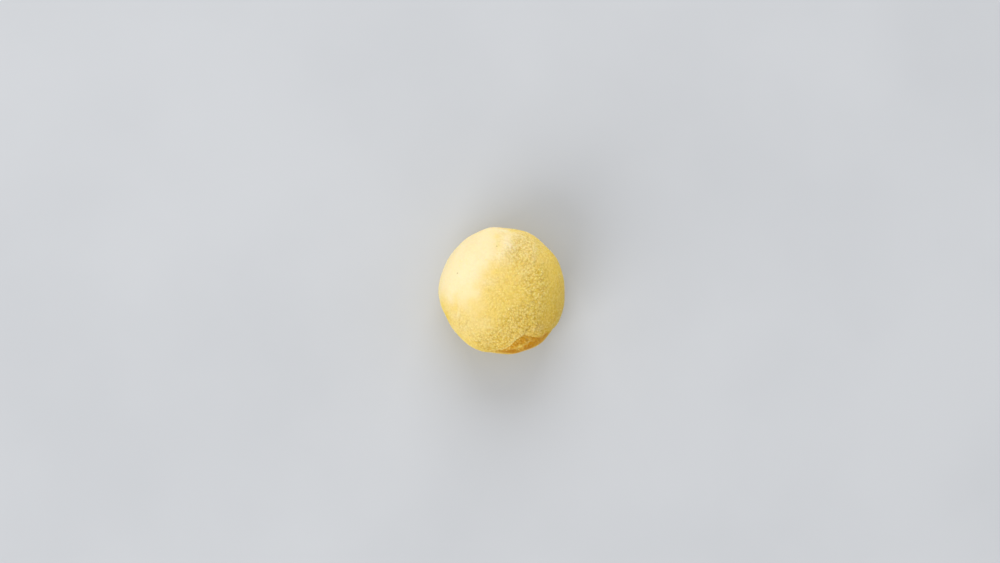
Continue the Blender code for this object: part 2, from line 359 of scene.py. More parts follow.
# Crumbs of starch; their shape is in shares of their size, the last one along the skin's normal
CRUMBS = 7000
CRUMB_SEED = 47
CRUMB_SIZE = 0.115 * MM
CRUMB_SIZE_SPREAD = 0.32
CRUMB_SHAPE = (1.0, 0.75, 0.45)
CRUMB_CORNERS = (0.55, 1.35)
CRUMBS_EVERYWHERE = 0.08
CRUMBS_LOST_ON_BARE = 0.92
LOWEST_CRUMB = 0.6 * MM

# Powder: the size of its clumps, flecks and clouds, the range of noise that each runs over, and
# what each adds
CLUMP_SIZE = 0.50 * MM
CLUMP_RANGE = (0.46, 0.66)
CLUMP_MASK = 0.12
FLECK_SIZE = 0.17 * MM
FLECK_RANGE = (0.42, 0.72)
FLECK_MASK = 0.05
FLECK_HEIGHT = 0.35
CLOUD_SIZE = 2.2 * MM
CLOUD_MASK = 0.12
POWDER_HEIGHT = 0.09 * MM
CRUMB_POWDER_HEIGHT = 0.02 * MM
CRUMB_POWDER_THICKNESS = 0.12

# Colours, and the roughness of dough and crumbs with what the powder adds to it
DOUGH_COLOUR = (0.85, 0.605, 0.080, 1.0)
GRAIN_COLOUR = (0.98, 0.79, 0.24, 1.0)
BARE_DOUGH_COLOUR = (0.68, 0.30, 0.003, 1.0)
STARCH_COLOUR = (0.96, 0.90, 0.74, 1.0)
# Painted shade: the colour towards which the pebbles' gaps, the creases under the lips, the pleats and the
# shade patches are multiplied
GAP_SHADE = (0.69, 0.60, 0.36, 1.0)
SPECK_COLOUR = (0.42, 0.35, 0.11, 1.0)
WHITE = (1.0, 1.0, 1.0, 1.0)
DOUGH_ROUGHNESS = 0.5
DOUGH_ROUGHNESS_ADDED = 0.4
CRUMB_ROUGHNESS = 0.85
CRUMB_ROUGHNESS_ADDED = 0.1

# Stage
FLOOR_COLOUR = (0.53, 0.55, 0.585, 1.0)
FLOOR_COLOUR_PALE = (0.565, 0.585, 0.62, 1.0)
FLOOR_CLOUDS_PER_METRE = 9.0
FLOOR_CLOUD_RANGE = (0.3, 0.7)
FLOOR_ROUGHNESS = 0.7
FLOOR_ROUGHNESS_ADDED = 0.1
FLOOR_HALF = 1.5
FLOOR_GAP = 0.05 * MM
FILL_COLOUR = (1.0, 0.995, 0.985, 1.0)
FILL_STRENGTH = 0.60
LIGHT_COLOUR = (1.0, 0.99, 0.97)
LIGHT_DISTANCE = 2.2
LIGHT_SIZE = 1.8

# Name, azimuth, elevation and power of each light
LIGHTS = (("window", 92, 30, 32.0), ("lamp", 231, 30, 30.0))

# Camera, which looks straight down and frames the mochi as the photo does
IMAGE_WIDTH, IMAGE_HEIGHT = 1000, 563
OUTLINE_MIDDLE_PIXEL = (501.6, 290.8)
PIXEL_SIZE = 0.356 * MM
LENS = 70.0
SENSOR = 36.0


def hump(share):
    """A smooth hump, 1 at 0 and exactly 0 from 1 outwards: the square of 1 less share squared."""
    return np.clip(1 - share * share, 0, None) ** 2


def ease(share):
    """A smooth rise from 0 to 1: three times share squared less twice share cubed."""
    share = np.clip(share, 0, 1)
    return share * share * (3 - 2 * share)


def angle_between(azimuth, other):
    """Degrees from other to azimuth, the short way round."""
    return (azimuth - other + 180) % 360 - 180


def plain_body(turn):
    """Radius and height of the plain body: above the belly a quarter of a superellipse, whose
    radius and rise are the sine and cosine of the turn to the power of the shoulder, and below
    it a quarter of an ellipse that ends level at the foot's rim."""
    above = np.radians(np.clip(turn, 0, 90))
    below = np.radians(np.clip(turn - 90, 0, 90))
    dome_radius = BELLY_RADIUS * np.sin(above) ** SHOULDER
    dome_height = BELLY_HEIGHT + (HEIGHT - BELLY_HEIGHT) * np.clip(np.cos(above), 0, None) ** SHOULDER
    lower_radius = FOOT_RADIUS + (BELLY_RADIUS - FOOT_RADIUS) * np.cos(below)
    lower_height = BELLY_HEIGHT * (1 - np.sin(below))
    return np.where(turn <= 90, dome_radius, lower_radius), np.where(turn <= 90, dome_height, lower_height)


def slope_length(turn):
    """Length of the plain body's slope from the crown down to this turn: a sum of short chords."""
    turns = np.linspace(0, 180, SLOPE_CHORDS + 1)
    radius, height = plain_body(turns)
    chords = np.hypot(np.diff(radius), np.diff(height))
    return np.interp(turn, turns, np.concatenate([[0], np.cumsum(chords)]))


def outward(turn):
    """The plain body's outward direction (radial, up), by differences."""
    step = 0.5
    before = plain_body(np.clip(turn - step, 0, 180))
    after = plain_body(np.clip(turn + step, 0, 180))
    along, rise = after[0] - before[0], after[1] - before[1]
    length = np.hypot(along, rise)
    return -rise / length, along / length


def outline(azimuth, turn):
    """How far the uneven outline stands out: a sum of cosine waves, less near crown and foot."""
    total = sum(w.height * np.cos(w.crests * np.radians(azimuth - w.azimuth)) for w in OUTLINE_WAVES)
    above = np.sin(np.radians(np.clip(turn, 0, 90))) ** 3
    below = 1 - (1 - OUTLINE_AT_FOOT) * np.clip(turn - 90, 0, 90) / 90
    return total * np.where(turn <= 90, above, below)


def lip_turn(tuck, azimuth):
    """The turn at which the tuck's lip lies: level, then falling with the angle to the power 1.5."""
    aside = angle_between(azimuth, tuck.azimuth) * math.copysign(1, tuck.fall)
    waver = LIP_WAVER * np.sin(math.tau * aside / LIP_WAVER_PERIOD)
    return tuck.turn + abs(tuck.fall) * np.clip(aside, 0, None) ** 1.5 + waver


def past_lip(tuck, azimuth, turn):
    """Distance down the slope from the tuck's lip, and the tuck's strength at this azimuth."""
    past_start = angle_between(azimuth, tuck.start)
    to_end = angle_between(tuck.end, azimuth)
    strength = ease(past_start / tuck.fade) * ease(to_end / tuck.fade)
    return slope_length(turn) - slope_length(lip_turn(tuck, azimuth)), strength


def tuck_relief(tuck, past, strength):
    """Height of the rolled lip, a hump, less the depth of the layer under it, which eases in and out."""
    roll = tuck.roll * hump((past + ROLL_SETBACK * tuck.lip) / (ROLL_REACH * tuck.lip))
    layer = ease(past / tuck.lip) * (1 - ease(past / tuck.recover))
    return strength * (roll - tuck.depth * layer)


def tuck_slide(tuck, past, strength):
    """How far the skin slides down to hang over the lower layer: a hump about the lip."""
    return strength * tuck.overhang * hump(past / (SLIDE_REACH * tuck.lip))


def oval_distance(shape, x, y):
    """Distance from the middle of an oval mark or patch, in shares of its half lengths."""
    aim = math.radians(shape.azimuth)
    along = (x - shape.x) * math.cos(aim) + (y - shape.y) * math.sin(aim)
    across = (y - shape.y) * math.cos(aim) - (x - shape.x) * math.sin(aim)
    return np.hypot(along / shape.along, across / shape.across)


def patch_share(patch, points, ragged=0):
    """1 in the patch, easing to 0 at its edge, which ragged shifts."""
    distance = oval_distance(patch, points[..., 0], points[..., 1]) + ragged
    return ease((1 - distance) / patch.edge)


def patch_total(patches, points, ragged=0):
    """The amounts of these patches at the points, added up where they overlap."""
    return sum(patch.amount * patch_share(patch, points, ragged) for patch in patches)


def pleat_depth(azimuth, share):
    """Depth of the gathers at a share of the way from the pinch to the foot's rim, over 1 up the side.

    The deepest of the creases, each a hump across, that swirls in and fades at its own reach.
    """
    inside = np.minimum(share, 1.0)
    width = PLEAT_WIDTH * (PLEAT_WIDTH_AT_PINCH + (1 - PLEAT_WIDTH_AT_PINCH) * inside)
    deepest = np.zeros_like(azimuth * share)
    for number in range(PLEATS):
        crease = 360 * number / PLEATS + PLEAT_UNEVENNESS * math.sin(PLEAT_PLACE_STEP * number * number)
        crease = crease + PLEAT_SWIRL * (1 - inside) ** 2
        aside = np.radians(angle_between(azimuth, crease)) * inside * FOOT_RADIUS
        reach = PLEAT_REACH + PLEAT_REACH_UNEVENNESS * math.cos(PLEAT_REACH_STEP * number)
        uneven = 1 + PLEAT_DEPTH_UNEVENNESS * (math.sin(PLEAT_DEPTH_STEP * number) - 1)
        depth = PLEAT_DEPTH * uneven * ease((reach - share) / PLEAT_FADE)
        deepest = np.maximum(deepest, depth * hump(aside / width))
    return deepest


def side_pleats(azimuth, turn):
    """Depth of the gathers up the lower side, past the foot's rim."""
    return pleat_depth(azimuth, 1 + (180 - turn) / PLEAT_SIDE_TURN) * (turn > 90)


def lattice_noise(points, cell, seed):
    """Random heights from -1 to 1 at the corners of a turned cubic lattice, blended in between."""
    rng = np.random.default_rng(seed)
    heights = rng.uniform(-1, 1, (LATTICE, LATTICE, LATTICE))
    axes, _ = np.linalg.qr(rng.normal(size=(3, 3)))
    place = points @ axes / cell
    corner = np.floor(place).astype(int)
    blend = ease(place - corner)
    total = np.zeros(points.shape[:-1])
    for offset in itertools.product((0, 1), repeat=3):
        weight = np.prod(np.where(offset, blend, 1 - blend), axis=-1)
        at = (corner + offset) % LATTICE
        total += weight * heights[at[..., 0], at[..., 1], at[..., 2]]
    return total


def unevenness(points, layers):
    """The layers of random unevenness at the points, added up."""
    return sum(layer.height * lattice_noise(points, layer.cell, layer.seed) for layer in layers)


def pebbles(points, cell, seed):
    """Pebbles from a cubic lattice with one jittered centre in each cell.

    Returns 1 on their tops and 0 in the gaps, a hump of the distance to the nearest centre, and
    the tone of the nearest pebble, a random number from 0 to 1.
    """
    rng = np.random.default_rng(seed)
    jitter = rng.uniform(-0.5, 0.5, (LATTICE, LATTICE, LATTICE, 3)) * PEBBLE_JITTER + 0.5
    tones = rng.random((LATTICE, LATTICE, LATTICE))
    axes, _ = np.linalg.qr(rng.normal(size=(3, 3)))
    place = points @ axes / cell
    corner = np.floor(place).astype(int)
    nearest = np.full(points.shape[:-1], np.inf)
    tone = np.zeros(points.shape[:-1])
    for offset in itertools.product((-1, 0, 1), repeat=3):
        near = corner + offset
        at = near % LATTICE
        centre = near + jitter[at[..., 0], at[..., 1], at[..., 2]]
        distance = np.linalg.norm(place - centre, axis=-1)
        tone = np.where(distance < nearest, tones[at[..., 0], at[..., 1], at[..., 2]], tone)
        nearest = np.minimum(nearest, distance)
    return hump(nearest), tone


def column_azimuths():
    """Azimuths of the columns, drawn together at the large tucks."""
    even = 360 * np.arange(COLUMNS) / COLUMNS
    return INNER_TUCK.azimuth + even - np.degrees(COLUMN_CROWDING * np.sin(np.radians(even)))


def side_turns(azimuth):
    """Turns of the rows down the side, one row running all along the lips of the large tucks."""
    near = np.abs(angle_between(azimuth, INNER_TUCK.azimuth)) < FOLD_REACH
    lips = np.maximum(lip_turn(UPPER_TUCK, azimuth), lip_turn(SIDE_TUCK, azimuth))
    lip = np.where(near, np.minimum(lips, LOWEST_LIP_ROW), LOWEST_LIP_ROW)
    above = np.arange(1, ROWS_ABOVE_LIP + 1)[:, None] / ROWS_ABOVE_LIP
    below = np.arange(1, ROWS_BELOW_LIP + 1)[:, None] / ROWS_BELOW_LIP
    upper = lip * (1 - (1 - above) ** CROWDING_ABOVE_LIP)
    lower = lip + (180 - lip) * below ** CROWDING_BELOW_LIP
    return np.concatenate([upper, lower])


def side_surface(azimuth, turn):
    """Points of the side and their outward directions, from azimuth and turn.

    The plain body's radius and height, plus the outline's waves, slid down its slope at the
    lips and moved outwards by the relief of tucks, marks and pleats, then leaned at the crown.
    """
    radius, height = plain_body(turn)
    out, up = outward(turn)
    radius = radius + outline(azimuth, turn)
    aim = np.radians(azimuth)
    across = radius * np.cos(aim), radius * np.sin(aim)
    relief = sum(mark.height * hump(oval_distance(mark, *across)) for mark in MARKS) * (turn < 90)
    slide = 0
    for tuck in TUCKS:
        past, strength = past_lip(tuck, azimuth, turn)
        relief = relief + tuck_relief(tuck, past, strength)
        slide = slide + tuck_slide(tuck, past, strength)
    relief = relief - side_pleats(azimuth, turn)
    radius = radius + relief * out + slide * up
    height = height + relief * up - slide * out
    lean = (height / HEIGHT) ** 2
    points = np.stack([
        radius * np.cos(aim) + CROWN_LEAN[0] * lean,
        radius * np.sin(aim) + CROWN_LEAN[1] * lean,
        np.clip(height, 0, None),
    ], axis=-1)
    outwards = np.stack([out * np.cos(aim), out * np.sin(aim), up * np.ones_like(aim)], axis=-1)
    return points, outwards


def foot_surface(azimuth, share):
    """Points of the underside, from azimuth and the share of the way from the pinch to the rim.

    Flat but for the pinch, a hump, and the pleats' creases round it.
    """
    aim = np.radians(azimuth)
    radius = (FOOT_RADIUS + outline(azimuth, 180)) * share
    pinch = hump(radius / PINCH_RADIUS)
    return np.stack([
        radius * np.cos(aim) + PINCH_OFFSET[0] * (1 - share) ** 2,
        radius * np.sin(aim) + PINCH_OFFSET[1] * (1 - share) ** 2,
        PINCH_DEPTH * pinch + pleat_depth(azimuth, share) * (1 - pinch),
    ], axis=-1)


def upper_side(points):
    """1 on the dome, fading to 0 down the lower side along a wavering line."""
    height = points[..., 2] + unevenness(points, UPPER_SIDE_WAVER)
    return ease((height - UPPER_SIDE_END) / UPPER_SIDE_FADE)


def lip_ridge(azimuth, turn):
    """1 along the lip of the upper tuck, less along the inner tuck's, and 0 elsewhere: a hump
    across each lip, as high as the lip's roll is to the upper one's."""
    ridge = 0
    for tuck in (UPPER_TUCK, INNER_TUCK):
        past, strength = past_lip(tuck, azimuth, turn)
        height = hump((past + RIDGE_SETBACK * tuck.lip) / (RIDGE_REACH * tuck.lip)) * strength
        ridge = np.maximum(ridge, height * tuck.roll / UPPER_TUCK.roll)
    return ridge


def dust_thickness(azimuth, turn, points):
    """How thick the starch lies on the side, up to 1: an even dusting, plus the patches with ragged edges,
    which are partly painted light, more on the lips and none on the bare dough."""
    patches = patch_total(DUST_AND_PAINTED_LIGHT_PATCHES, points, unevenness(points, DUST_EDGE))
    dust = DUST_EVERYWHERE + patches * upper_side(points)
    bare = bare_share(azimuth, turn, points)
    dust = dust * (1 - bare) + DUST_IN_TUCK * bare
    return np.clip(dust + DUST_ON_LIP * lip_ridge(azimuth, turn), DUST_IN_TUCK, 1)


def bare_share(azimuth, turn, points):
    """Where the dough is bare, from 0 to 1: below the lips of the large tucks, more so below the inner
    tuck's lip, mottled and dusted again in patches, and a little in the warm patches, which are partly
    painted shade. It fades down the lower side along a wavering line."""
    upper, upper_strength = past_lip(UPPER_TUCK, azimuth, turn)
    side, side_strength = past_lip(SIDE_TUCK, azimuth, turn)
    inner, _ = past_lip(INNER_TUCK, azimuth, turn)
    below_upper = ease((upper + UPPER_EDGE_LEAD) / UPPER_EDGE_WIDTH) * upper_strength
    below_upper = below_upper * ease(side / COVERED_EDGE_WIDTH)
    below_upper = below_upper * (BARE_UNDER_UPPER + BARE_UNDER_INNER * ease(inner / INNER_EDGE_WIDTH))
    below_side = ease((side + SIDE_EDGE_LEAD) / SIDE_EDGE_WIDTH) * side_strength * BARE_UNDER_SIDE
    bare = np.maximum(below_upper, below_side) * (MOTTLE_MIDDLE + unevenness(points, MOTTLE))
    for patch in TUCK_PATCHES:
        bare = bare * (1 - patch.amount * patch_share(patch, points))
    bare = bare + patch_total(WARM_AND_PAINTED_SHADE_PATCHES, points)
    past_end = turn + unevenness(points, BARE_END_WAVER) - BARE_END_TURN
    return np.clip(bare * (1 - ease(past_end / BARE_END_FADE)), 0, 1)


def painted_shade_share(azimuth, turn, points):
    """Painted shade on the side, from 0 to 1: in the creases right under the lips of the large tucks, a
    hump across, in the shade patches, which end at the belly, and in the gathers."""
    creases = 0
    for tuck in (UPPER_TUCK, SIDE_TUCK, INNER_TUCK):
        past, strength = past_lip(tuck, azimuth, turn)
        crease = hump((past - tuck.lip) / (CREASE_REACH * tuck.lip)) * strength
        creases = np.maximum(creases, crease * (tuck.depth / UPPER_TUCK.depth) ** 2)
    shade = patch_total(SHADE_PATCHES, points) * (1 - ease((turn - SHADE_END_TURN) / SHADE_END_FADE))
    gathers = PAINTED_SHADE_IN_PLEATS * side_pleats(azimuth, turn) / PLEAT_DEPTH
    return np.maximum(np.clip(creases + shade, 0, 1), gathers)


def grain_strength(points):
    """How pebbly the skin is, from 0 to 1: an even grain, with coarser and smoother patches."""
    patches = patch_total(GRAIN_PATCHES, points) * upper_side(points)
    return np.clip(GRAIN_EVERYWHERE + unevenness(points, GRAIN_CLOUDS) + patches, 0, 1)


def speck_share(points, azimuth, turn):
    """1 at the middle of each speck, fading to 0 at its radius as a hump of the distance."""
    share = np.zeros(points.shape[:-1])
    for place in SPECKS:
        aside = np.abs(angle_between(azimuth, place[0])) + np.abs(turn - place[1])
        row, column = np.unravel_index(np.argmin(aside), aside.shape)
        distance = np.linalg.norm(points - points[row, column], axis=-1)
        share = np.maximum(share, hump(distance / SPECK_RADIUS) * (distance < SPECK_RADIUS))
    return share


def foot_dust(points):
    """How thick the starch lies on the underside, from 0 to 1."""
    return DUST_ON_FOOT + unevenness(points, FOOT_DUST_CLOUDS)


def side_rings(azimuth):
    """The rings from under the crown to the foot's rim, and the shares of their finish.

    The soft lumps and the pebbles stand out along the outward direction, the pebbles by as much
    as their gaps lie in. Down the lower side the dusting turns into that of the underside.
    """
    turn = side_turns(azimuth)
    points, outwards = side_surface(azimuth, turn)
    calm = ease((CALM_TURN - turn) / CALM_FADE)
    tops, tone = pebbles(points, PEBBLE_CELL, PEBBLE_SEED)
    grain = grain_strength(points) * calm
    fine = unevenness(points, LUMPS) * calm + PEBBLE_HEIGHT * grain * (tops - 0.5)
    points = points + outwards * fine[..., None]
    points[..., 2] = np.clip(points[..., 2], 0, None)
    under = ease((turn - FOOT_DUST_TURN) / FOOT_DUST_FADE)
    bare = bare_share(azimuth, turn, points)
    top = grain * tops * tone * (1 - TOP_LOST_ON_BARE * bare)
    return points, {
        "dust": dust_thickness(azimuth, turn, points) * (1 - under) + foot_dust(points) * under,
        "bare": bare,
        # The gaps between the pebbles, darkened as painted shade and given more powder clumps
        "gap": grain * (1 - tops),
        "top": np.maximum(top, TOP_ON_LIP * lip_ridge(azimuth, turn)),
        "painted_shade": painted_shade_share(azimuth, turn, points),
        "speck": speck_share(points, azimuth, turn),
    }


def foot_rings(azimuth):
    """The rings from inside the foot's rim to round the pinch, and the shares of their finish."""
    share = 1 - np.arange(1, ROWS_UNDER_FOOT)[:, None] / ROWS_UNDER_FOOT
    points = foot_surface(azimuth, share)
    none = np.zeros(points.shape[:-1])
    return points, {
        "dust": foot_dust(points),
        "bare": none,
        "gap": none,
        "top": none,
        "painted_shade": PAINTED_SHADE_IN_PLEATS * pleat_depth(azimuth, share) / PLEAT_DEPTH,
        "speck": none,
    }


def skin_rings():
    """The skin's rings from under the crown to round the pinch, and the shares of their finish."""
    azimuth = column_azimuths()[None, :]
    side, side_finish = side_rings(azimuth)
    foot, foot_finish = foot_rings(azimuth)
    finish = {name: np.concatenate([side_finish[name], foot_finish[name]]) for name in side_finish}
    return np.concatenate([side, foot]), finish


def closed_faces(rings):
    """Faces of a closed skin of rings: a fan at each end and quads between, all facing outwards.

    Vertex 0 is the crown, then come the rings, and the last vertex is the pinch's middle.
    """
    column = np.arange(COLUMNS)
    beside = (column + 1) % COLUMNS
    first = 1 + COLUMNS * np.arange(rings - 1)[:, None]
    quads = np.stack([
        first + column,
        first + COLUMNS + column,
        first + COLUMNS + beside,
        first + beside,
    ], axis=-1).reshape(-1, 4)
    last_ring = 1 + COLUMNS * (rings - 1)
    crown = np.stack([np.zeros(COLUMNS, int), 1 + column, 1 + beside], axis=-1)
    middle = np.full(COLUMNS, last_ring + COLUMNS)
    pinch = np.stack([middle, last_ring + beside, last_ring + column], axis=-1)
    return crown.tolist() + quads.tolist() + pinch.tolist()


def mesh_object(name, points, faces, material):
    """A mesh object at the origin, its place in its mesh."""
    mesh = bpy.data.meshes.new(name)
    mesh.from_pydata(points.reshape(-1, 3).tolist(), [], faces)
    mesh.update()
    mesh.shade_smooth()
    mesh.materials.append(material)
    piece = bpy.data.objects.new(name, mesh)
    bpy.context.scene.collection.objects.link(piece)
    return piece


def add_attribute(piece, name, values):
    """Stores one number for each of the mesh's points, for the material to read."""
    attribute = piece.data.attributes.new(name, "FLOAT", "POINT")
    attribute.data.foreach_set("value", np.asarray(values, np.float32).ravel())


def centre_shift(points):
    """The sideways move that centres these points in the frame's box."""
    middle = (points.reshape(-1, 3).min(0) + points.reshape(-1, 3).max(0)) / 2
    target = (LOW + HIGH) / 2
    return np.array([target[0] - middle[0], target[1] - middle[1], 0])


def make_skin(material):
    """The mochi's skin, as one closed surface. Returns it, its rings and the shares of their finish."""
    points, finish = skin_rings()
    points = points + centre_shift(points)
    crown = points[0].mean(0)
    pinch = points[-1].mean(0)
    crown[2] = points[0, :, 2].max()
    pinch[2] = max(points[-1, :, 2].max(), PINCH_DEPTH)
    rows = points.shape[0]
    every = np.concatenate([crown[None], points.reshape(-1, 3), pinch[None]])
    skin = mesh_object("mochi_skin", every, closed_faces(rows), material)
    for name, values in finish.items():
        add_attribute(skin, name, np.concatenate([[values[0].mean()], values.ravel(), [values[-1].mean()]]))
    return skin, points, finish


def icosahedron():
    """Corners and faces of an icosahedron of radius 1, from three golden rectangles."""
    golden = (1 + math.sqrt(5)) / 2
    corners = np.array([
        (-1, golden, 0), (1, golden, 0), (-1, -golden, 0), (1, -golden, 0),
        (0, -1, golden), (0, 1, golden), (0, -1, -golden), (0, 1, -golden),
        (golden, 0, -1), (golden, 0, 1), (-golden, 0, -1), (-golden, 0, 1),
    ])
    faces = np.array([
        (0, 11, 5), (0, 5, 1), (0, 1, 7), (0, 7, 10), (0, 10, 11),
        (1, 5, 9), (5, 11, 4), (11, 10, 2), (10, 7, 6), (7, 1, 8),
        (3, 9, 4), (3, 4, 2), (3, 2, 6), (3, 6, 8), (3, 8, 9),
        (4, 9, 5), (2, 4, 11), (6, 2, 10), (8, 6, 7), (9, 8, 1),
    ])
    return corners / np.linalg.norm(corners[0]), faces


def scattered_on_skin(points, chance, count, rng):
    """Random places on the skin and its outward directions there.

    A cell of the grid is drawn by its area and its chance, and a place in it is the bilinear
    blend of its four corners. The direction is the cross product of the cell's diagonals.
    """
    below, right = points[1:], np.roll(points, -1, axis=1)
    corners = np.stack([points[:-1], below, right[1:], right[:-1]])
    normals = np.cross(corners[2] - corners[0], corners[3] - corners[1])
    area = np.linalg.norm(normals, axis=-1)
    weight = (area * chance[:-1]).ravel()
    drawn = rng.choice(weight.size, count, replace=False, p=weight / weight.sum())
    cell = corners.reshape(4, -1, 3)[:, drawn]
    down, along = rng.random((2, count, 1))
    left = cell[0] * (1 - down) + cell[1] * down
    other = cell[3] * (1 - down) + cell[2] * down
    direction = normals.reshape(-1, 3)[drawn] / area.ravel()[drawn, None]
    return left * (1 - along) + other * along, direction


def make_crumbs(points, finish, material):
    """Crumbs of starch half sunk in the skin: squashed icosahedra with jittered corners, as one
    mesh. Each lies flat on the skin, turned about its normal, and more lie where the grain is
    strong than on bare dough."""
    rng = np.random.default_rng(CRUMB_SEED)
    chance = CRUMBS_EVERYWHERE + (finish["gap"] + finish["top"]) ** 2
    chance = chance * (1 - CRUMBS_LOST_ON_BARE * finish["bare"]) * (points[..., 2] > LOWEST_CRUMB)
    middle, normal = scattered_on_skin(points, chance, CRUMBS, rng)
    helper = np.where(np.abs(normal[:, 2:]) < 0.9, (0.0, 0.0, 1.0), (1.0, 0.0, 0.0))
    side = np.cross(normal, helper)
    side /= np.linalg.norm(side, axis=1, keepdims=True)
    spin = rng.uniform(0, math.tau, (CRUMBS, 1))
    first = side * np.cos(spin) + np.cross(normal, side) * np.sin(spin)
    axes = np.stack([first, np.cross(normal, first), normal], axis=1)
    corners, faces = icosahedron()
    size = CRUMB_SIZE * np.exp(CRUMB_SIZE_SPREAD * rng.normal(size=(CRUMBS, 1, 1)))
    shape = corners * rng.uniform(*CRUMB_CORNERS, (CRUMBS, len(corners), 1)) * size * CRUMB_SHAPE
    placed = middle[:, None] + shape @ axes
    faces = (faces[None] + len(corners) * np.arange(CRUMBS)[:, None, None]).reshape(-1, 3)
    return mesh_object("starch_crumbs", placed, faces.tolist(), material)


def new_group(name, inputs, outputs):
    """An empty shader node group with these sockets, and its two end nodes."""
    group = bpy.data.node_groups.new(name, "ShaderNodeTree")
    for label, kind, default in inputs:
        socket = group.interface.new_socket(label, in_out="INPUT", socket_type=kind)
        if default is not None:
            socket.default_value = default
    for label, kind in outputs:
        group.interface.new_socket(label, in_out="OUTPUT", socket_type=kind)
    return group, group.nodes.new("NodeGroupInput"), group.nodes.new("NodeGroupOutput")


def feed(tree, socket, value):
    """Gives an input its value, which is another node's output or a constant."""
    if isinstance(value, bpy.types.NodeSocket):
        tree.links.new(value, socket)
    else:
        socket.default_value = value


def math_node(tree, operation, first, second, third=0.0, clamp=False):
    """A Math node on up to three values, each an output or a number. Returns its output."""
    node = tree.nodes.new("ShaderNodeMath")
    node.operation = operation
    node.use_clamp = clamp
    for socket, value in zip(node.inputs, (first, second, third)):
        feed(tree, socket, value)
    return node.outputs[0]


def noise_node(tree, place, scale, detail, roughness=0.5):
    """A Noise Texture about 0.5 at this many cells per metre."""
    node = tree.nodes.new("ShaderNodeTexNoise")
    tree.links.new(place, node.inputs["Vector"])
    node.inputs["Scale"].default_value = scale
    node.inputs["Detail"].default_value = detail
    node.inputs["Roughness"].default_value = roughness
    return node.outputs["Fac"]


def ramp_node(tree, value, low, high):
    """A smooth step of a value from 0 at low to 1 at high."""
    node = tree.nodes.new("ShaderNodeMapRange")
    node.interpolation_type = "SMOOTHSTEP"
    tree.links.new(value, node.inputs["Value"])
    node.inputs["From Min"].default_value = low
    node.inputs["From Max"].default_value = high
    return node.outputs["Result"]


def mix_colour(tree, share, first, second, blend="MIX"):
    """A Mix node between two colours; the share and the colours are outputs or constants."""
    node = tree.nodes.new("ShaderNodeMix")
    node.data_type = "RGBA"
    node.blend_type = blend
    feed(tree, node.inputs["Factor"], share)
    colours = [socket for socket in node.inputs if socket.type == "RGBA"]
    for socket, value in zip(colours, (first, second)):
        feed(tree, socket, value)
    return next(socket for socket in node.outputs if socket.type == "RGBA")


def powder_group():
    """Powder, as a mask and a height.

    The mask is the thickness plus a share each of soft clouds, fine flecks and clumps. The height
    is the clumps plus a share of the flecks. Grain scales the clumps.
    """
    group, start, end = new_group(
        "powder",
        (
            ("Vector", "NodeSocketVector", None),
            ("Thickness", "NodeSocketFloat", 0.3),
            ("Grain", "NodeSocketFloat", 0.5),
        ),
        (("Mask", "NodeSocketFloat"), ("Height", "NodeSocketFloat")),
    )
    place, thickness, grain = (start.outputs[label] for label in ("Vector", "Thickness", "Grain"))
    clumps = noise_node(group, place, 1 / CLUMP_SIZE, detail=1.5, roughness=0.6)
    clumps = ramp_node(group, clumps, *CLUMP_RANGE)
    flecks = noise_node(group, place, 1 / FLECK_SIZE, detail=2.0, roughness=0.6)
    flecks = ramp_node(group, flecks, *FLECK_RANGE)
    clouds = noise_node(group, place, 1 / CLOUD_SIZE, detail=3.0, roughness=0.55)
    level = math_node(group, "MULTIPLY_ADD", clouds, CLOUD_MASK, -CLOUD_MASK / 2)
    level = math_node(group, "ADD", level, thickness)
    level = math_node(group, "MULTIPLY_ADD", flecks, FLECK_MASK, level)
    clumped = math_node(group, "MULTIPLY", clumps, grain)
    mask = math_node(group, "MULTIPLY_ADD", clumped, CLUMP_MASK, level, clamp=True)
    height = math_node(group, "MULTIPLY_ADD", flecks, FLECK_HEIGHT, clumped)
    group.links.new(mask, end.inputs["Mask"])
    group.links.new(height, end.inputs["Height"])
    return group


def group_node(tree, group):
    """A node that uses this group."""
    node = tree.nodes.new("ShaderNodeGroup")
    node.node_tree = group
    return node


def new_material(name):
    """A new material, its node tree, its Principled BSDF and its Object coordinates."""
    material = bpy.data.materials.new(name)
    material.use_nodes = True
    tree = material.node_tree
    place = tree.nodes.new("ShaderNodeTexCoord").outputs["Object"]
    return material, tree, tree.nodes["Principled BSDF"], place


def attribute_value(tree, name):
    """The mesh's own value of this name."""
    node = tree.nodes.new("ShaderNodeAttribute")
    node.attribute_name = name
    return node.outputs["Fac"]


def bump(tree, height, distance):
    """A normal for a skin that stands out by the distance where the height is 1."""
    node = tree.nodes.new("ShaderNodeBump")
    node.inputs["Distance"].default_value = distance
    node.inputs["Strength"].default_value = 1.0
    tree.links.new(height, node.inputs["Height"])
    return node.outputs["Normal"]


